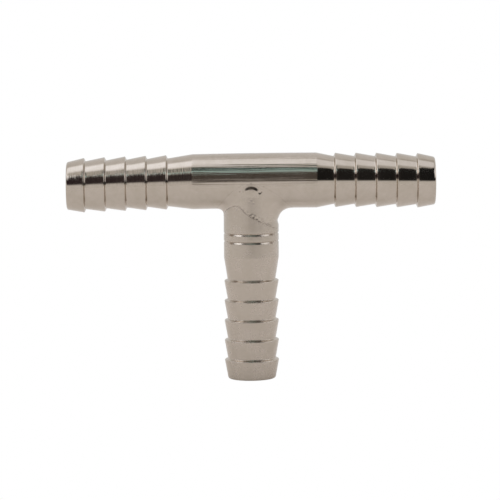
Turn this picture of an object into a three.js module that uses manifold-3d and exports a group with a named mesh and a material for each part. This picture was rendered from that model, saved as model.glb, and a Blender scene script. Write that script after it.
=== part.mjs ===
// A three-way hose connector: a straight barbed tube, a barbed branch tube coped to sit against it at
// right angles, and the bead of weld metal that joins the two.
// Millimetres, +Z up. The run lies along X and the branch hangs down along -Z.
// The origin is the centre of the branch's end face, which the connector stands on.

import * as THREE from 'three';
import { mergeVertices } from 'three/addons/utils/BufferGeometryUtils.js';
import Module from 'manifold-3d';

const wasm = await Module();
wasm.setup();

// Whole connector
const RUN_HALF_LENGTH = 31.9;
const BRANCH_LENGTH = 34.5;         // from the run's axis to the branch's end face
const TUBE_RADIUS = 4.76;           // 3/8 in tube stock
const BORE_RADIUS = 3.2;

// Hose barbs, the same on all three arms apart from their pitch
const BARB_COUNT = 5;
const CREST_RADIUS = 4.725;
const ROOT_RADIUS = 4.15;
const STEP_LENGTH = 0.24;           // axial length of a barb's back face
const END_FACE_RADIUS = 3.8;
const NOSE_ROUND = 0.4;             // axial length of the rounded edge at the tip
const NOSE_RADIUS = 4.17;           // where the rounded edge runs into the nose cone
const NOSE_ROUND_STEPS = 3;

// Run arms
const RUN_FIRST_CREST = 28.8;       // from the branch's axis
const RUN_BARB_PITCH = 3.57;
const LEFT_SHOULDER = 10.1;         // where each taper meets the plain middle
const RIGHT_SHOULDER = 11.4;

// Branch arm
const BRANCH_FIRST_CREST = 31.15;   // from the run's axis
const BRANCH_BARB_PITCH = 3.46;
const BRANCH_SHOULDER = 13.2;
const GROOVE_DISTANCES = [10.4, 9.0];
const GROOVE_WIDTH = 0.3;
const GROOVE_DEPTH = 0.1;
const COPE_TOP = 1.2;               // the coped ears end this far below the run's axis
const SIDE_HOLE_RADIUS = 3.0;
const SIDE_HOLE_DEPTH = 7.2;        // from the run's axis, past its underside

// Weld
const FIT_GAP = 0.05;               // between the bead and each tube, and under the coped end
const WELD_TOE_THICKNESS = 0.12;
const WELD_SINK = 0.85;             // the bead's inner line, as a share of the tube radius
const WELD_LEG_RIGHT = 2.6;         // along the run, in the right-hand corner
const WELD_LEG_LEFT = 1.0;
const WELD_LEG_SIDE = 0.4;          // between the corners
const WELD_TOP = 88;                // degrees up round the run that the bead reaches
const WELD_DEPTH = 6.6;             // toe on the branch, below the run's axis
const WELD_CROWN = 0.12;            // swell of the bead over the flush front and back
const WELD_PULL = 0.62;             // how closely the fillet's curve hugs the corner
const WELD_CURVE_STEPS = 6;
const WELD_CLEARED_DEPTH = 10;      // how far down the branch the bead is cut clear of it

const ROUND_STEPS = 40;
const MERGE_TOLERANCE = 1e-4;

// Solids and geometries

function toSolid(geometry) {
  const bare = geometry.clone();
  bare.deleteAttribute('normal');
  bare.deleteAttribute('uv');
  const merged = mergeVertices(bare, MERGE_TOLERANCE);
  return new wasm.Manifold(new wasm.Mesh({
    numProp: 3,
    vertProperties: new Float32Array(merged.attributes.position.array),
    triVerts: new Uint32Array(merged.index.array),
  }));
}

function toGeometry(solid) {
  const mesh = solid.getMesh();
  const geometry = new THREE.BufferGeometry();
  geometry.setAttribute('position', new THREE.BufferAttribute(mesh.vertProperties, 3));
  geometry.setIndex(new THREE.BufferAttribute(mesh.triVerts, 1));
  geometry.computeVertexNormals();
  return geometry;
}

// Revolves a list of [distance along the axis, radius] pairs.
function turned(outline) {
  const points = outline.map(([along, radius]) => new THREE.Vector2(radius, along));
  return new THREE.LatheGeometry(points, ROUND_STEPS);
}

function alongX(geometry) {
  return geometry.rotateZ(-Math.PI / 2);
}

function alongZ(geometry) {
  return geometry.rotateX(Math.PI / 2);
}

function rod(from, to, radius) {
  return turned([[from, 0], [from, radius], [to, radius], [to, 0]]);
}

// One barbed arm as distances from the joint, from its end face in to its shoulder.
function armOutline(end, firstCrest, pitch, shoulder) {
  const outline = [];
  for (let i = 0; i <= NOSE_ROUND_STEPS; i += 1) {
    const turn = (i / NOSE_ROUND_STEPS) * (Math.PI / 2);
    const radius = END_FACE_RADIUS + (NOSE_RADIUS - END_FACE_RADIUS) * Math.sin(turn);
    outline.push([end - NOSE_ROUND * (1 - Math.cos(turn)), radius]);
  }
  for (let barb = 0; barb < BARB_COUNT; barb += 1) {
    const crest = firstCrest - barb * pitch;
    outline.push([crest, CREST_RADIUS]);
    outline.push([crest - STEP_LENGTH, ROOT_RADIUS]);
  }
  outline.push([shoulder, TUBE_RADIUS]);
  return outline;
}

// The same outline on the other side of the joint.
function opposite(outline) {
  return outline.map(([along, radius]) => [-along, radius]);
}

// Straight tube with a barbed arm at each end, drilled through its underside for the branch.
function runTube() {
  const right = armOutline(RUN_HALF_LENGTH, RUN_FIRST_CREST, RUN_BARB_PITCH, RIGHT_SHOULDER);
  const left = armOutline(RUN_HALF_LENGTH, RUN_FIRST_CREST, RUN_BARB_PITCH, LEFT_SHOULDER);
  const outline = [
    [-RUN_HALF_LENGTH, BORE_RADIUS],
    ...opposite(left),
    ...right.reverse(),
    [RUN_HALF_LENGTH, BORE_RADIUS],
    [-RUN_HALF_LENGTH, BORE_RADIUS],
  ];
  const tube = toSolid(alongX(turned(outline)));
  const sideHole = toSolid(alongZ(rod(-SIDE_HOLE_DEPTH, 0, SIDE_HOLE_RADIUS)));
  return toGeometry(tube.subtract(sideHole));
}

function grooveOutline(distance) {
  return [
    [-distance - GROOVE_WIDTH / 2, TUBE_RADIUS],
    [-distance, TUBE_RADIUS - GROOVE_DEPTH],
    [-distance + GROOVE_WIDTH / 2, TUBE_RADIUS],
  ];
}

function runEnvelope() {
  return toSolid(alongX(rod(-LEFT_SHOULDER, LEFT_SHOULDER, TUBE_RADIUS + FIT_GAP)));
}

// Branch tube: one barbed arm, two ring grooves, and a top end coped to the run's outside.
function branchTube() {
  const arm = armOutline(BRANCH_LENGTH, BRANCH_FIRST_CREST, BRANCH_BARB_PITCH, BRANCH_SHOULDER);
  const grooves = GROOVE_DISTANCES.flatMap(grooveOutline);
  const outline = [
    [-BRANCH_LENGTH, BORE_RADIUS],
    ...opposite(arm),
    ...grooves,
    [-COPE_TOP, TUBE_RADIUS],
    [-COPE_TOP, BORE_RADIUS],
    [-BRANCH_LENGTH, BORE_RADIUS],
  ];
  return toGeometry(toSolid(alongZ(turned(outline))).subtract(runEnvelope()));
}

// How far the bead reaches along the run at a given angle round the branch, 0 being the right.
function weldLeg(angle) {
  const side = Math.cos(angle);
  const corner = side > 0 ? WELD_LEG_RIGHT : WELD_LEG_LEFT;
  return WELD_LEG_SIDE + (corner - WELD_LEG_SIDE) * side * side;
}

// The bead's section at one angle: out along its concave face from the branch's toe to the run's
// toe, then back inside the two tubes.
function weldSection(angle) {
  const across = Math.cos(angle);
  const away = Math.sin(angle);
  const leg = weldLeg(angle);
  const thick = FIT_GAP + WELD_TOE_THICKNESS;
  const onBranch = new THREE.Vector3(
    (TUBE_RADIUS + thick) * across, (TUBE_RADIUS + thick) * away, -WELD_DEPTH);
  const roll = THREE.MathUtils.degToRad(WELD_TOP) * away;
  const around = new THREE.Vector3(0, Math.sin(roll), -Math.cos(roll));
  const onRun = around.clone().multiplyScalar(TUBE_RADIUS + thick);
  onRun.x = (TUBE_RADIUS + leg) * across;
  const corner = new THREE.Vector3(
    TUBE_RADIUS * across, TUBE_RADIUS * away, -TUBE_RADIUS * Math.abs(across));
  const crown = new THREE.Vector3(0, away * (thick + WELD_CROWN), 0);
  const pullLow = onBranch.clone().lerp(corner, WELD_PULL).add(crown);
  const pullHigh = onRun.clone().lerp(corner, WELD_PULL).add(crown);
  const face = new THREE.CubicBezierCurve3(onBranch, pullLow, pullHigh, onRun);
  return [
    ...face.getPoints(WELD_CURVE_STEPS),
    around.clone().multiplyScalar(TUBE_RADIUS * WELD_SINK).setX(onRun.x * WELD_SINK),
    corner.clone().multiplyScalar(WELD_SINK),
    new THREE.Vector3(onBranch.x * WELD_SINK, onBranch.y * WELD_SINK, -WELD_DEPTH),
  ];
}

// Joins a ring of closed sections with the same number of points into one closed surface.
function ringOf(sections) {
  const count = sections[0].length;
  const geometry = new THREE.BufferGeometry().setFromPoints(sections.flat());
  const index = [];
  sections.forEach((section, s) => {
    const next = (s + 1) % sections.length;
    for (let p = 0; p < count; p += 1) {
      const q = (p + 1) % count;
      const corners = [s * count + p, next * count + p, next * count + q, s * count + q];
      index.push(corners[0], corners[1], corners[2]);
      index.push(corners[0], corners[2], corners[3]);
    }
  });
  geometry.setIndex(index);
  return geometry;
}

// Fillet of weld metal that follows the saddle line round the joint, clear of both tubes.
function weldBead() {
  const sections = [];
  for (let step = 0; step < ROUND_STEPS; step += 1) {
    sections.push(weldSection((step / ROUND_STEPS) * Math.PI * 2));
  }
  const clear = rod(-WELD_CLEARED_DEPTH, 0, TUBE_RADIUS + FIT_GAP);
  const branchEnvelope = toSolid(alongZ(clear));
  const bead = toSolid(ringOf(sections));
  return toGeometry(bead.subtract(runEnvelope()).subtract(branchEnvelope));
}

function steel(color, roughness) {
  return new THREE.MeshStandardMaterial({ color, roughness, metalness: 1 });
}

function piece(name, geometry, material) {
  const mesh = new THREE.Mesh(geometry, material);
  mesh.name = name;
  return mesh;
}

// The joint's centre, where the two axes cross, is this group's own origin.
const connector = new THREE.Group();
connector.position.z = BRANCH_LENGTH;
connector.add(piece('run_tube', runTube(), steel(0xb9aea4, 0.16)));
connector.add(piece('branch_tube', branchTube(), steel(0xb4a99e, 0.22)));
connector.add(piece('weld_bead', weldBead(), steel(0xa89c91, 0.3)));

const part = new THREE.Group();
part.add(connector);

export default part;
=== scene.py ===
import math

import bpy
import numpy as np
from mathutils import Matrix, Vector, noise


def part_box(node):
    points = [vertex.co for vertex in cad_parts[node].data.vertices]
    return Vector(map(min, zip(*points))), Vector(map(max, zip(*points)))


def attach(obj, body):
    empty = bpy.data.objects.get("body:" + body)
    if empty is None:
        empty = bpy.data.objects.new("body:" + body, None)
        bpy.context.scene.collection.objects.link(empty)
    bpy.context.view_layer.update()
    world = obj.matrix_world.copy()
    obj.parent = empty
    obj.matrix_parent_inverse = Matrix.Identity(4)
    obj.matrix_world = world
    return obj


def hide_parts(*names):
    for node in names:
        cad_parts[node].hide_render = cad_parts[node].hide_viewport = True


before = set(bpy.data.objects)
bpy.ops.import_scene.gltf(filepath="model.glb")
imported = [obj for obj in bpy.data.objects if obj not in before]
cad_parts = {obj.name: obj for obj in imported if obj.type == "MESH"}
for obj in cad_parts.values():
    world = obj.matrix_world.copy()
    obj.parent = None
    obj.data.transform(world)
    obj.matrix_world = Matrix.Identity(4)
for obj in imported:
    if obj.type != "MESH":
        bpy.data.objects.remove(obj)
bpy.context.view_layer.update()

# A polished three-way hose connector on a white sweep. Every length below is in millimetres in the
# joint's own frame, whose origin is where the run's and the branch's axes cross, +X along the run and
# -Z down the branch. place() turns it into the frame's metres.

MM = 0.001

# Sizes that the frame gives
RUN_LOW, RUN_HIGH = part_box("run_tube")
HALF_RUN = RUN_HIGH.x / MM
TUBE = (RUN_HIGH.z - RUN_LOW.z) / 2 / MM
BRANCH = (RUN_HIGH.z + RUN_LOW.z) / 2 / MM
JOINT = Vector((0.0, 0.0, BRANCH * MM))

# Tubes: radii, roundings of their edges, and distances along each axis from the joint
BORE = 3.2
CREST, ROOT = 4.725, 4.15
STEP = 0.24
CREST_ROUND, ROOT_ROUND = 0.16, 0.16
NOSE = 4.1
MOUTH_ROUND, NOSE_ROUND = 0.12, 0.4
SHARP = 0.0001                          # the rounding of an edge that is left sharp
RUN_CREST, RUN_PITCH = 28.85, 3.56
BRANCH_CREST, BRANCH_PITCH = 31.15, 3.46
BARBS = 5
LEFT_SHOULDER, RIGHT_SHOULDER, BRANCH_SHOULDER = 10.1, 11.4, 13.2
LEFT_SHOULDER_ROUND, RIGHT_SHOULDER_ROUND, BRANCH_SHOULDER_ROUND = 3.0, 1.5, 3.0
GROOVES = (10.4, 9.0)
GROOVE_LOWER, GROOVE_UPPER, GROOVE_DEPTH = 0.3, 0.12, 0.14
GROOVE_ROUNDS = (0.15, 0.05, 0.02)      # of its lower edge, bottom and upper edge
SIDE_HOLE = 3.0
SIDE_HOLE_SPAN = (1.4, 0.1)             # below the run's axis, as shares of the tube radius
COPE_FROM = 7.0                         # above here the branch is drawn into its coped end
BOW = 0.46                              # droop of the run's ends, as the weld pulls them
LEAN = 0.3                              # how far the branch's end sits to the left of square
ROUND_STEPS, CIRCLE_STEPS = 192, 96
ARC_STEPS = 6
ARC_REACH = 0.45                        # the most of a side that a rounded corner takes
LONGEST_STEP = 0.6
SHADING_WEIGHT = 60

# Weld
WELD_ROUND_STEPS, SKIRT_STEPS, FILLET_STEPS = 640, 24, 130
WELD_LIFT = 0.012
WELD_SINK = 0.9                         # the bead's hidden inner side, as a share of its outer one
WELD_TOP = 88.0                         # degrees up round the run that the bead reaches
WELD_FADE = 0.02                        # share of the face over which its relief dies out at a toe
LEG_RIGHT, LEG_LEFT, LEG_SIDE = 2.5, 1.25, 0.6     # along the run, past the branch's side
FILLET_PULL = 0.6                       # how closely the fillet's curve hugs the corner
UNDERCUT_DEPTH, UNDERCUT_BELOW, UNDERCUT_HEIGHT, UNDERCUT_TURN = 0.17, 6.95, 0.5, 35


def place(points):
    return [tuple(p * MM + np.array(JOINT)) for p in points]


def mesh_object(name, points, faces):
    mesh = bpy.data.meshes.new(name)
    mesh.from_pydata(place(np.asarray(points)), [], faces)
    mesh.validate()
    mesh.polygons.foreach_set("use_smooth", [True] * len(mesh.polygons))
    piece = bpy.data.objects.new(name, mesh)
    bpy.context.scene.collection.objects.link(piece)
    return piece


def ring_faces(rings, around):
    """Quads between consecutive rings, each a loop of the same number of points, first to last."""
    faces = []
    for r in range(rings):
        here, there = r * around, (r + 1) % rings * around
        for a in range(around):
            b = (a + 1) % around
            faces.append((here + a, here + b, there + b, there + a))
    return faces


# Turned tubes

def rounded(corners):
    """Turns a closed outline of (along, radius, fillet) corners into points, each corner an arc."""
    points = []
    for i, (x, y, fillet) in enumerate(corners):
        corner = Vector((x, y))
        before = Vector(corners[i - 1][:2]) - corner
        after = Vector(corners[(i + 1) % len(corners)][:2]) - corner
        half = before.angle(after) / 2
        reach = min(fillet / math.tan(half), ARC_REACH * before.length, ARC_REACH * after.length)
        start = corner + before.normalized() * reach
        end = corner + after.normalized() * reach
        bend = math.sin(half)
        for s in range(ARC_STEPS + 1):
            t = s / ARC_STEPS
            a, b, c = (1 - t) ** 2, 2 * t * (1 - t) * bend, t ** 2
            points.append((start * a + corner * b + end * c) / (a + b + c))
    return points


def split_long(points):
    """Adds points so that no stretch of the closed outline is longer than LONGEST_STEP."""
    out = []
    for i, p in enumerate(points):
        q = points[(i + 1) % len(points)]
        pieces = max(1, math.ceil((q - p).length / LONGEST_STEP))
        out += [p.lerp(q, k / pieces) for k in range(pieces)]
    return out


def arm(end, first_crest, pitch, shoulder, shoulder_round):
    """Corners of one barbed arm, from its end face in to its shoulder."""
    corners = [(end, BORE, MOUTH_ROUND), (end, NOSE, NOSE_ROUND)]
    for barb in range(BARBS):
        crest = first_crest - barb * pitch
        corners += [(crest, CREST, CREST_ROUND), (crest - STEP, ROOT, ROOT_ROUND)]
    return corners + [(shoulder, TUBE, shoulder_round)]


def opposite(corners):
    return [(-x, y, fillet) for x, y, fillet in corners]


def turned(corners):
    """Points of a closed outline swept round the axis: an array [outline point, angle, xyz] with
    the axis along X."""
    outline = np.array([tuple(p) for p in split_long(rounded(corners))])
    turn = np.linspace(0, 2 * np.pi, ROUND_STEPS, endpoint=False)
    x = np.repeat(outline[:, :1], ROUND_STEPS, axis=1)
    y = outline[:, 1:] * np.sin(turn)
    z = outline[:, 1:] * np.cos(turn)
    return np.stack([x, y, z], axis=-1)


def as_welded(points):
    """The set that welding leaves: the run's ends droop and the branch leans to the left."""
    x, z = points[..., 0], points[..., 2]
    points[..., 2] -= BOW * (x / HALF_RUN) ** 2
    points[..., 0] += LEAN * np.minimum(z, 0.0) / BRANCH
    return points


def circle(radius):
    turn = np.linspace(0, 2 * np.pi, CIRCLE_STEPS, endpoint=False)
    return np.stack([np.cos(turn), np.sin(turn), np.zeros_like(turn)], axis=-1) * radius


def drill_side_hole(tube):
    rim = circle(SIDE_HOLE)
    low, high = (rim - (0, 0, TUBE * share) for share in SIDE_HOLE_SPAN)
    count = len(rim)
    sides = [(a, (a + 1) % count, count + (a + 1) % count, count + a) for a in range(count)]
    caps = [tuple(range(count))[::-1], tuple(range(count, 2 * count))]
    cutter = mesh_object("cutter", np.concatenate([low, high]), sides + caps)
    cut = tube.modifiers.new("side_hole", "BOOLEAN")
    cut.operation, cut.solver, cut.object = "DIFFERENCE", "EXACT", cutter
    apply_modifiers(tube)
    bpy.data.objects.remove(cutter)


def apply_modifiers(piece):
    graph = bpy.context.evaluated_depsgraph_get()
    mesh = bpy.data.meshes.new_from_object(piece.evaluated_get(graph), depsgraph=graph)
    piece.modifiers.clear()
    piece.data = mesh


def even_shading(piece):
    shading = piece.modifiers.new("even_shading", "WEIGHTED_NORMAL")
    shading.mode = "FACE_AREA"
    shading.weight = SHADING_WEIGHT


def run_tube():
    left = arm(HALF_RUN, RUN_CREST, RUN_PITCH, LEFT_SHOULDER, LEFT_SHOULDER_ROUND)
    right = arm(HALF_RUN, RUN_CREST, RUN_PITCH, RIGHT_SHOULDER, RIGHT_SHOULDER_ROUND)
    points = as_welded(turned(opposite(left) + right[::-1]))
    faces = ring_faces(len(points), ROUND_STEPS)
    tube = mesh_object("run_tube_turned", points.reshape(-1, 3), faces)
    drill_side_hole(tube)
    even_shading(tube)
    return tube


def coped(points):
    """Draws the top of the branch down to the underside of the run, as a fish-mouth cut leaves it."""
    x, y, z = points[..., 0], points[..., 1], points[..., 2]
    saddle = -np.sqrt(np.maximum(TUBE ** 2 - y ** 2, 0.0))
    share = np.clip((z + COPE_FROM) / COPE_FROM, 0, 1)
    points[..., 2] = np.where(share > 0, -COPE_FROM + share * (saddle + COPE_FROM), z)
    return points


def undercut(angle, z):
    """How far the weld has bitten into the branch below the right-hand fillet."""
    turn = np.degrees(np.angle(np.exp(1j * angle)))
    off = (z + UNDERCUT_BELOW) / UNDERCUT_HEIGHT
    return UNDERCUT_DEPTH * np.exp(-off ** 2 - (turn / UNDERCUT_TURN) ** 2)


def bitten(points):
    """Takes the undercut off the branch's outside."""
    x, y, z = points[..., 0], points[..., 1], points[..., 2]
    radius = np.hypot(x, y)
    bite = undercut(np.arctan2(y, x), z) * (radius > (BORE + TUBE) / 2)
    points[..., 0] *= 1 - bite / radius
    points[..., 1] *= 1 - bite / radius
    return points


def branch_tube():
    corners = opposite(
        arm(BRANCH, BRANCH_CREST, BRANCH_PITCH, BRANCH_SHOULDER, BRANCH_SHOULDER_ROUND))
    lower_round, bottom_round, upper_round = GROOVE_ROUNDS
    for groove in GROOVES:
        corners += [(-groove - GROOVE_LOWER, TUBE, lower_round),
                    (-groove, TUBE - GROOVE_DEPTH, bottom_round),
                    (-groove + GROOVE_UPPER, TUBE, upper_round)]
    corners += [(0, TUBE, SHARP), (0, BORE, SHARP)]
    points = turned(corners)
    upright = coped(np.stack([points[..., 1], points[..., 2], points[..., 0]], axis=-1))
    faces = ring_faces(len(points), ROUND_STEPS)
    placed = as_welded(bitten(upright)).reshape(-1, 3)
    tube = mesh_object("branch_tube_turned", placed, faces)
    even_shading(tube)
    return tube


# Weld bead

# The weld on the branch, as degrees round the branch from the right and depth below the run's axis:
# its lower edge, and the line where its fillet starts to curve out to the run.
TOE_LINE = ((0, 8.0), (35, 6.9), (65, 6.4), (90, 6.0), (120, 5.2), (150, 5.6), (180, 6.1),
            (214, 4.7), (243, 4.25), (262, 5.7), (275, 6.3), (295, 7.1), (335, 8.2))
FILLET_LINE = ((0, 6.85), (50, 5.6), (90, 5.2), (130, 4.7), (180, 5.8), (214, 4.5), (243, 4.1),
               (262, 5.2), (290, 5.6), (335, 6.6))

# The weld's relief, seen from the front. A swell is its centre, radius, height and the width of its
# rounded shoulder, and a pit its centre, radius and depth. The lip is a swell kept to its upper middle.
FRONT_FROM, FRONT_FULL = 1.5, 3.0       # how far forward the relief starts, and is at its full height
PUDDLE = ((0.9, -3.8), 3.2, 0.03, 1.6)
LIP = ((0.0, -2.5), 1.9, 0.11, 0.55)
LIP_LOW, LIP_HIGH = -2.7, -1.2
LIP_HALF_FULL, LIP_HALF_END = 0.6, 1.6
PITS = (((-1.96, -1.35), 0.15, 0.05), ((1.5, -1.68), 0.22, 0.07), ((1.8, -1.5), 0.16, 0.04),
        ((0.05, -2.95), 0.2, 0.012), ((0.4, -3.45), 0.16, 0.01), ((-0.3, -3.3), 0.13, 0.008))

# The ridge above the toe on the branch: height above it, half width and share of each of its crests,
# then its height along the toe, which swells at the front, and how unevenly it is broken
RIDGES = ((0.24, 0.13, 1.0), (0.62, 0.16, 0.5))
RIDGE_HEIGHT, RIDGE_SWELL = 0.014, 0.018
RIDGE_EVEN, RIDGE_UNEVEN, RIDGE_GRAIN, RIDGE_MOST = 0.6, 1.3, 2.2, 1.4
TOE_FRONT, TOE_FRONT_HALF = 0.3, 1.3    # middle and half width of the toe's uneven front

# Painted shade and smudges: the dark line on the toe, which paints the shade of the crease where the
# bead meets the branch, and the smudges above it, as height above the toe and half width
TOE_SHADE_LINE, GRIME_SMUDGE = (0.08, 0.11), (0.3, 0.5)
LINE_GRAIN, LINE_EVEN, LINE_UNEVEN, LINE_LEAST, LINE_MOST = 1.3, 0.32, 0.6, 0.08, 0.7
LINE_FRONT = 0.5
SMUDGE_GRAIN, SMUDGE_EVEN, SMUDGE_UNEVEN = 2.3, 0.1, 3.4
LEAST_SHARE = 0.02                      # below this a ridge or a smudge is left out


def round_curve(knots, angles):
    """A smooth periodic curve through (degrees, value) knots."""
    at = np.array([k[0] for k in knots], float)
    value = np.array([k[1] for k in knots], float)
    at = np.concatenate([at - 360, at, at + 360])
    value = np.concatenate([value] * 3)
    slope = np.gradient(value, at)
    i = np.clip(np.searchsorted(at, angles, side="right") - 1, 0, len(at) - 2)
    width = at[i + 1] - at[i]
    t = (angles - at[i]) / width
    return (value[i] * (2 * t**3 - 3 * t**2 + 1) + value[i + 1] * (3 * t**2 - 2 * t**3)
            + width * slope[i] * (t**3 - 2 * t**2 + t) + width * slope[i + 1] * (t**3 - t**2))


def weld_face():
    """The bead's outer face as an array [angle, step, xyz]: straight up the branch from its toe,
    then a fillet up and out to its toe on the run, tangent to each tube."""
    degrees = np.linspace(0, 360, WELD_ROUND_STEPS, endpoint=False)
    angle = np.radians(degrees)
    across, away = np.cos(angle), np.sin(angle)
    corner_leg = np.where(across > 0, LEG_RIGHT, LEG_LEFT)
    leg = LEG_SIDE + (corner_leg - LEG_SIDE) * across ** 2
    skin = TUBE + WELD_LIFT
    toe = np.stack([skin * across, skin * away, -round_curve(TOE_LINE, degrees)], axis=-1)
    foot = np.stack([skin * across, skin * away, -round_curve(FILLET_LINE, degrees)], axis=-1)
    roll = np.radians(WELD_TOP) * away
    out = np.stack([np.zeros_like(roll), np.sin(roll), -np.cos(roll)], axis=-1)
    high = out * skin
    high[:, 0] = (TUBE + leg) * across
    corner = np.stack([skin * across, skin * away, -TUBE * np.abs(across)], axis=-1)
    rise = (corner - foot) * FILLET_PULL
    back = (corner - high) * FILLET_PULL
    back -= out * np.sum(back * out, axis=1, keepdims=True)
    t = np.linspace(0, 1, SKIRT_STEPS, endpoint=False)[None, :, None]
    skirt = toe[:, None] * (1 - t) + foot[:, None] * t
    t = np.linspace(0, 1, FILLET_STEPS)[None, :, None]
    a, b, c, d = foot[:, None], (foot + rise)[:, None], (high + back)[:, None], high[:, None]
    fillet = a * (1 - t)**3 + 3 * b * t * (1 - t)**2 + 3 * c * t**2 * (1 - t) + d * t**3
    return np.concatenate([skirt, fillet], axis=1)


def unit_normals(face):
    around = np.roll(face, -1, axis=0) - np.roll(face, 1, axis=0)
    along = np.gradient(face, axis=1)
    normal = np.cross(around, along)
    return normal / np.linalg.norm(normal, axis=-1, keepdims=True)


def soft_step(value, low, high):
    t = np.clip((value - low) / (high - low), 0, 1)
    return t * t * (3 - 2 * t)


def swell(x, z, centre, size, height, edge):
    """A low round swell with a rounded shoulder of width edge."""
    distance = np.hypot(x - centre[0], z - centre[1])
    return height * (1 - soft_step(distance, size - edge, size))


def pit(x, z, centre, size, depth):
    distance = np.hypot(x - centre[0], z - centre[1])
    return -depth * np.exp(-((distance / size) ** 2))


def weld_relief(face):
    """How far the weld's front stands out: a low puddle, the lip where its last pass stopped, and
    small pits."""
    x, y, z = face[..., 0], face[..., 1], face[..., 2]
    rise = swell(x, z, *PUDDLE)
    lip = swell(x, z, *LIP) * soft_step(z, LIP_LOW, LIP_HIGH)
    rise += lip * (1 - soft_step(np.abs(x), LIP_HALF_FULL, LIP_HALF_END))
    for centre, size, depth in PITS:
        rise += pit(x, z, centre, size, depth)
    return rise * soft_step(-y, FRONT_FROM, FRONT_FULL)


def bell(value, middle, half_width):
    return np.exp(-((value - middle) / half_width) ** 2)


def toe_ridge(face):
    """The broken ridge left just above the toe on the branch, strongest at the front."""
    above = face[..., 2] - face[:, :1, 2]
    share = sum(strength * bell(above, middle, half) for middle, half, strength in RIDGES)
    rough = np.zeros(face.shape[:2])
    for i, j in zip(*np.nonzero(share > LEAST_SHARE)):
        rough[i, j] = RIDGE_EVEN + RIDGE_UNEVEN * noise.noise(Vector(face[i, j]) * RIDGE_GRAIN)
    height = RIDGE_HEIGHT + RIDGE_SWELL * bell(face[:, :1, 0], TOE_FRONT, TOE_FRONT_HALF)
    return height * share * np.clip(rough, 0, RIDGE_MOST)


def paint_toe_shade_and_smudges(face):
    """How dark the bead is painted near its toe: a broken dark line on the toe, painted shade of the
    crease where the bead meets the branch, and smudges on the toe's front.
    """
    above = face[..., 2] - face[:, :1, 2]
    line = bell(above, *TOE_SHADE_LINE)
    front = bell(face[..., 0], TOE_FRONT, TOE_FRONT_HALF) * (face[..., 1] < 0)
    smudge = front * bell(above, *GRIME_SMUDGE)
    shade_and_smudges = np.zeros(face.shape[:2])
    for i, j in zip(*np.nonzero(line + smudge > LEAST_SHARE)):
        spot = Vector(face[i, j])
        broken = LINE_EVEN + LINE_UNEVEN * noise.noise(spot * LINE_GRAIN)
        broken = min(max(broken, LINE_LEAST), LINE_MOST) + LINE_FRONT * front[i, j]
        patch = SMUDGE_UNEVEN * noise.noise(spot * SMUDGE_GRAIN) + SMUDGE_EVEN
        patch = min(max(patch, 0.0), 1.0)
        # painted shade line on the toe plus the smudges above it
        shade_and_smudges[i, j] = min(line[i, j] * broken + smudge[i, j] * patch, 1.0)
    return shade_and_smudges


def weld_bead():
    face = weld_face()
    normal = unit_normals(face)
    rise = weld_relief(face) + toe_ridge(face)
    share = np.linspace(0, 1, face.shape[1])
    rise *= soft_step(share, 0.0, WELD_FADE) * (1 - soft_step(share, 1 - WELD_FADE, 1.0))
    # painted shade along the toe's crease, with the smudges above it
    shade_and_smudges = paint_toe_shade_and_smudges(face)
    face = bitten(face + normal * rise[..., None])
    low, high = face[:, 0], face[:, -1]
    bend = np.stack([low[:, 0], low[:, 1], -np.abs(low[:, 0])], axis=-1)
    inner = np.stack([high * WELD_SINK, bend * WELD_SINK, low * (WELD_SINK, WELD_SINK, 1)], axis=1)
    rings = as_welded(np.concatenate([face, inner], axis=1))
    points = rings.reshape(-1, 3)
    bead = mesh_object("weld_bead_ground", points, ring_faces(len(rings), rings.shape[1]))
    # carries the painted toe shade and the smudges to the weld's material
    shade_and_smudge_layer = bead.data.attributes.new("shade_and_smudges", "FLOAT", "POINT")
    shade_and_smudge_layer.data.foreach_set("value", np.pad(shade_and_smudges, ((0, 0), (0, inner.shape[1]))).ravel())
    return bead


# Materials

class Tree:
    """Short forms for making nodes in one node tree."""

    def __init__(self, tree):
        self.tree = tree

    def add(self, kind, inputs=(), **settings):
        made = self.tree.nodes.new(kind)
        for key, value in settings.items():
            setattr(made, key, value)
        for key, value in dict(inputs).items():
            self.put(made.inputs[key], value)
        return made

    def put(self, socket, value):
        if isinstance(value, bpy.types.NodeSocket):
            self.tree.links.new(value, socket)
        else:
            socket.default_value = value

    def math(self, operation, *values):
        made = self.tree.nodes.new("ShaderNodeMath")
        made.operation = operation
        for socket, value in zip(made.inputs, values):
            self.put(socket, value)
        return made.outputs[0]

    def vector(self, operation, *values):
        made = self.tree.nodes.new("ShaderNodeVectorMath")
        made.operation = operation
        for socket, value in zip(made.inputs, values):
            self.put(socket, value)
        return made.outputs["Value"] if operation == "DOT_PRODUCT" else made.outputs[0]

    def noise(self, vector, detail, rough):
        made = self.add("ShaderNodeTexNoise", {"Vector": vector, "Scale": 1.0,
                                               "Detail": detail, "Roughness": rough})
        return made.outputs["Fac"]

    def remap(self, value, low, high, to_low, to_high, smooth=False):
        made = self.add("ShaderNodeMapRange", {"Value": value, "From Min": low, "From Max": high,
                                               "To Min": to_low, "To Max": to_high})
        made.interpolation_type = "SMOOTHSTEP" if smooth else "LINEAR"
        return made.outputs[0]

    def blend(self, share, a, b):
        """A colour mix, whose colour sockets share their names with its number and vector ones."""
        made = self.tree.nodes.new("ShaderNodeMix")
        made.data_type = "RGBA"
        self.put(made.inputs[0], share)
        self.put(made.inputs[6], a)
        self.put(made.inputs[7], b)
        return made.outputs[2]


STEEL = (0.56, 0.49, 0.425)
# colour of the painted shade in the toe's crease, and of the smudges above it
TOE_SHADE_AND_SMUDGE_COLOUR = (0.16, 0.13, 0.11, 1)
LIGHTER, DARKER = 1.04, (0.93, 0.93, 0.9)
TINT_SPAN, DULL_SPAN = (0.35, 0.65), (0.3, 0.7)     # of the mottle, from one extreme to the other
LESS_DULL, MORE_DULL = 0.8, 1.25
QUARTER_TURN = 0.25

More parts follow.
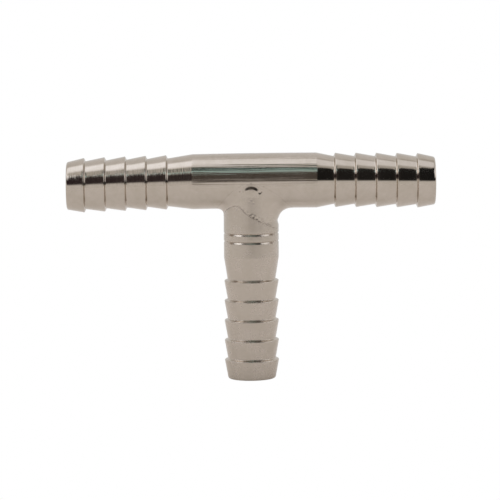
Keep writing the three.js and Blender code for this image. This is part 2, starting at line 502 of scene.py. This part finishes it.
# How closely the marks lie, per metre: rings along the tube, polishing lines along and across it, and
# the clouds and smaller stains that both the colour and the dullness follow
RING_DENSITY, RING_ROUGH = 3000, 0.7
LINE_ALONG, LINE_ACROSS, LINE_ROUGH = 60, 2200, 0.5
CLOUD_DENSITY, CLOUD_ROUGH = 260.0, 0.55
STAIN_DENSITY, STAIN_ROUGH = 1100.0, 0.5
CLOUD_SHARE, STAIN_SHARE = 0.6, 0.4

# Polished metal of each surface. In turn: the tube's axis; "round" where the finest marks run round
# the tube or "long" where they run along it; how dull it is; how much the marks stretch its
# reflections; and the heights, in thousandths of a millimetre, of the tool's rings, the polishing
# lines along the tube and the soft unevenness under both.
FINISHES = {
    "run_middle_steel": ("X", "long", 0.16, 0.3, 0.3, 60.0, 4.0),
    "left_arm_steel": ("X", "round", 0.13, 0.5, 42.0, 0.5, 2.0),
    "right_arm_steel": ("X", "round", 0.1, 0.4, 3.0, 0.5, 2.0),
    "branch_steel": ("Z", "round", 0.25, 0.4, 1.0, 30.0, 3.0),
    "weld_steel": ("Z", "round", 0.2, 0.2, 0.5, 1.0, 5.0),
}


def metal(name, with_shade_and_smudges=False):
    axis, grain, dull, spread, rings, lines, waves = FINISHES[name]
    material = bpy.data.materials.new(name)
    material.use_nodes = True
    tree = Tree(material.node_tree)
    shader = material.node_tree.nodes["Principled BSDF"]
    where = tree.add("ShaderNodeTexCoord").outputs["Object"]
    along = Vector([1.0 if letter == axis else 0.0 for letter in "XYZ"])
    across = Vector((1, 1, 1)) - along

    def marks(density, detail, rough):
        return tree.noise(tree.vector("MULTIPLY", where, density), detail, rough)

    ring_marks = tree.math("MULTIPLY", marks(along * RING_DENSITY, 2.0, RING_ROUGH), rings)
    line_density = along * LINE_ALONG + across * LINE_ACROSS
    line_marks = tree.math("MULTIPLY", marks(line_density, 2.0, LINE_ROUGH), lines)
    clouds = marks((CLOUD_DENSITY,) * 3, 3.0, CLOUD_ROUGH)
    stain = marks((STAIN_DENSITY,) * 3, 2.0, STAIN_ROUGH)
    lighter = tuple(c * LIGHTER for c in STEEL) + (1.0,)
    darker = tuple(c * f for c, f in zip(STEEL, DARKER)) + (1.0,)
    mottle = tree.math("ADD", tree.math("MULTIPLY", clouds, CLOUD_SHARE),
                       tree.math("MULTIPLY", stain, STAIN_SHARE))
    tint = tree.blend(tree.remap(mottle, *TINT_SPAN, 0.0, 1.0), darker, lighter)
    # darkens the base colour towards the painted toe shade and smudge colour
    if with_shade_and_smudges:
        shade_and_smudge_layer = tree.add("ShaderNodeAttribute", attribute_name="shade_and_smudges")
        tint = tree.blend(shade_and_smudge_layer.outputs["Fac"], tint, TOE_SHADE_AND_SMUDGE_COLOUR)
    tree.put(shader.inputs["Base Color"], tint)
    dullness = tree.remap(mottle, *DULL_SPAN, dull * LESS_DULL, dull * MORE_DULL)
    tree.put(shader.inputs["Roughness"], dullness)
    shader.inputs["Metallic"].default_value = 1.0
    shader.inputs["Anisotropic"].default_value = spread
    marks_turn = QUARTER_TURN if grain == "round" else 0.0
    shader.inputs["Anisotropic Rotation"].default_value = marks_turn
    turn = tree.add("ShaderNodeTangent", direction_type="RADIAL", axis=axis)
    tree.put(shader.inputs["Tangent"], turn.outputs[0])
    relief = tree.math("ADD", ring_marks, line_marks)
    relief = tree.math("ADD", relief, tree.math("MULTIPLY", clouds, waves))
    bump = tree.add("ShaderNodeBump", {"Height": relief, "Strength": 1.0, "Distance": 1e-6})
    tree.put(shader.inputs["Normal"], bump.outputs[0])
    return material


def wear(piece, *materials):
    piece.data.materials.clear()
    for material in materials:
        piece.data.materials.append(material)


def finish_run(run):
    """The plain middle is polished lengthways, and the arms keep the lathe's rings, the left one
    more than the right."""
    wear(run, metal("run_middle_steel"), metal("left_arm_steel"), metal("right_arm_steel"))
    for face in run.data.polygons:
        x = face.center.x / MM
        face.material_index = 1 if x < -LEFT_SHOULDER else 2 if x > RIGHT_SHOULDER else 0


def finish_pieces(run, branch, weld):
    finish_run(run)
    wear(branch, metal("branch_steel"))
    # the weld's colour carries the painted shade of its toe's crease, and the smudges above it
    wear(weld, metal("weld_steel", with_shade_and_smudges=True))


# Studio

# The light that shows in the metal. Each panel is a long way off: name, azimuth and elevation of its
# middle, width, height and soft edge in degrees, and light. Azimuth 0 is towards the front, positive
# to the right. Later panels cover earlier ones.
PANELS = (
    ("left_wall", -62, 63.5, 78, 31, 4, (0.66, 0.65, 0.63, 1)),
    ("right_wall", 62, 72, 84, 30, 4, (0.59, 0.58, 0.56, 1)),
    ("left_lamp", -75, 37, 46, 20, 4, (1.9, 1.98, 2.12, 1)),
    ("right_lamp", 80, 28, 50, 36, 6, (1.3, 1.34, 1.42, 1)),
    ("right_top_box", 90, 74, 30, 26, 9, (0.98, 1.0, 1.05, 1)),
    ("top_box", -90, 72, 33, 50, 7, (1.18, 1.22, 1.29, 1)),
    ("left_top_box", -90, 74, 23, 20, 6, (1.36, 1.42, 1.54, 1)),
    ("figure_top", 0, 57.5, 30, 21, 3, (0.07, 0.098, 0.092, 1)),
    ("green_strip", 0, 46.5, 30, 8.5, 3, (0.5, 0.74, 0.75, 1)),
)
# The room outside the panels. Its spans are elevations in degrees, or how far to the right or to the
# back a direction points, from -1 to 1.
FRONT_LOW = (0.79, 0.78, 0.77, 1)
FIGURE = (0.1, 0.088, 0.08, 1)
FRONT_SHADE = (0, -7, 76, 9, 8)
FRONT_SHADE_DEPTH = 0.06
DARK_LEFT = (0.035, 0.025, 0.028, 1)
DARK_RIGHT = (0.014, 0.014, 0.014, 1)
BACK_LIGHT = (0.75, 0.75, 0.75, 1)
FIGURE_EDGE = 0.42
RIGHT_FROM, RIGHT_FULL, RIGHT_LIFT = -0.1, 0.2, 0.1
SIDES_SPAN, FIGURE_SPAN = (3, 11), (-9, 9)
BACK_FULL = 0.35


def direction(azimuth, elevation):
    a, e = math.radians(azimuth), math.radians(elevation)
    return Vector((math.sin(a) * math.cos(e), -math.cos(a) * math.cos(e), math.sin(e)))


def panel_share(tree, where, azimuth, elevation, width, height, soft):
    """1 inside a flat panel seen from the object, 0 outside, with a soft edge between."""
    middle = direction(azimuth, elevation)
    upward = direction(azimuth, elevation + 90)
    sideways = middle.cross(upward)
    ahead = tree.vector("DOT_PRODUCT", where, middle)
    share = tree.math("GREATER_THAN", ahead, 0.0)
    for axis, size in ((sideways, width), (upward, height)):
        off = tree.math("DIVIDE", tree.vector("DOT_PRODUCT", where, axis), ahead)
        off = tree.math("ABSOLUTE", off)
        inner = math.tan(math.radians((size - soft) / 2))
        outer = math.tan(math.radians((size + soft) / 2))
        share = tree.math("MULTIPLY", share, tree.remap(off, inner, outer, 1.0, 0.0, smooth=True))
    return share


def height_share(tree, height, low, high):
    """0 below the elevation low, 1 above high."""
    low, high = (math.sin(math.radians(e)) for e in (low, high))
    return tree.remap(height, low, high, 0, 1, smooth=True)


def studio_light():
    """Room light: a bright table in front of a dark room, the figure who stands at the camera
    between them, and a pale wall at the back."""
    world = bpy.data.worlds.new("studio")
    world.use_nodes = True
    bpy.context.scene.world = world
    tree = Tree(world.node_tree)
    where = tree.add("ShaderNodeTexCoord").outputs["Generated"]
    parts = tree.add("ShaderNodeSeparateXYZ", {0: where})
    right, back, height = (parts.outputs[axis] for axis in "XYZ")
    beside = tree.remap(tree.math("ABSOLUTE", right), 0.0, FIGURE_EDGE, 0, 1, smooth=True)
    to_right = tree.remap(right, RIGHT_FROM, RIGHT_FULL, 0, 1, smooth=True)
    dark = tree.blend(to_right, DARK_LEFT, DARK_RIGHT)
    lift = tree.remap(right, RIGHT_FROM, RIGHT_FULL, 0.0, RIGHT_LIFT, smooth=True)
    sides = tree.math("ADD", height, lift)
    sides = tree.blend(height_share(tree, sides, *SIDES_SPAN), FRONT_LOW, dark)
    middle = tree.blend(height_share(tree, height, *FIGURE_SPAN), FRONT_LOW, FIGURE)
    light = tree.blend(beside, middle, sides)
    shade = tree.math("MULTIPLY", panel_share(tree, where, *FRONT_SHADE), FRONT_SHADE_DEPTH)
    light = tree.blend(shade, light, (0, 0, 0, 1))
    light = tree.blend(tree.remap(back, 0.0, BACK_FULL, 0, 1, smooth=True), light, BACK_LIGHT)
    for panel in PANELS:
        light = tree.blend(panel_share(tree, where, *panel[1:6]), light, panel[6])
    tree.put(world.node_tree.nodes["Background"].inputs["Color"], light)


def flat_material(name, colour, glow):
    material = bpy.data.materials.new(name)
    material.use_nodes = True
    shader = material.node_tree.nodes["Principled BSDF"]
    shader.inputs["Base Color"].default_value = colour
    shader.inputs["Roughness"].default_value = 1.0
    shader.inputs["Specular IOR Level"].default_value = 0.0
    shader.inputs["Emission Color"].default_value = (1, 1, 1, 1)
    shader.inputs["Emission Strength"].default_value = glow
    return material


SWEEP_HALF = 3000.0
SWEEP_COLOUR, SWEEP_GLOW = (0, 0, 0, 1), 1.0
TABLE_RADIUS = 170.0
TABLE_GAP = 0.01
TABLE_COLOUR, TABLE_GLOW = (0.75, 0.71, 0.68, 1), 0.21


def floor():
    """The white sweep that is seen, and the table that the metal mirrors and the light falls on."""
    half = SWEEP_HALF
    corners = np.array([(-half, -half, 0), (half, -half, 0), (half, half, 0), (-half, half, 0)])
    sweep = mesh_object("white_sweep", corners - (0, 0, BRANCH + TABLE_GAP), [(0, 1, 2, 3)])
    wear(sweep, flat_material("white_sweep", SWEEP_COLOUR, SWEEP_GLOW))
    sweep.visible_glossy = sweep.visible_diffuse = sweep.visible_shadow = False
    rim = circle(TABLE_RADIUS)
    table = mesh_object("table", rim - (0, 0, BRANCH), [tuple(range(len(rim)))])
    wear(table, flat_material("table", TABLE_COLOUR, TABLE_GLOW))
    table.visible_camera = False


# Camera: the aim is a point of the branch's axis, below the joint

CAMERA_DISTANCE = 550.0
CAMERA_ELEVATION = 6.25
CAMERA_ROLL = 0.85
AIM_BELOW = 12.1
AIM_LEFT = 0.34
VIEW_WIDTH = 86.85                      # across the aim
SENSOR_WIDTH = 36.0
CLIP_NEAR, CLIP_FAR = 0.01, 20.0        # metres


def camera():
    data = bpy.data.cameras.new("camera")
    data.sensor_width = SENSOR_WIDTH
    data.lens = data.sensor_width * CAMERA_DISTANCE / VIEW_WIDTH
    data.clip_start, data.clip_end = CLIP_NEAR, CLIP_FAR
    made = bpy.data.objects.new("camera", data)
    bpy.context.scene.collection.objects.link(made)
    aim = JOINT + Vector((-AIM_LEFT, 0.0, -AIM_BELOW)) * MM
    back = direction(0, CAMERA_ELEVATION)
    turn = (-back).to_track_quat("-Z", "Y").to_matrix().to_4x4()
    roll = Matrix.Rotation(math.radians(-CAMERA_ROLL), 4, "Z")
    made.matrix_world = Matrix.Translation(aim + back * CAMERA_DISTANCE * MM) @ turn @ roll
    bpy.context.scene.camera = made


def stand_for(piece, node):
    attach(piece, "root")
    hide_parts(node)


camera()
studio_light()
floor()
run, branch, weld = run_tube(), branch_tube(), weld_bead()
finish_pieces(run, branch, weld)
stand_for(run, "run_tube")
stand_for(branch, "branch_tube")
stand_for(weld, "weld_bead")
bpy.context.scene.view_settings.view_transform = "Standard"
bpy.context.view_layer.update()
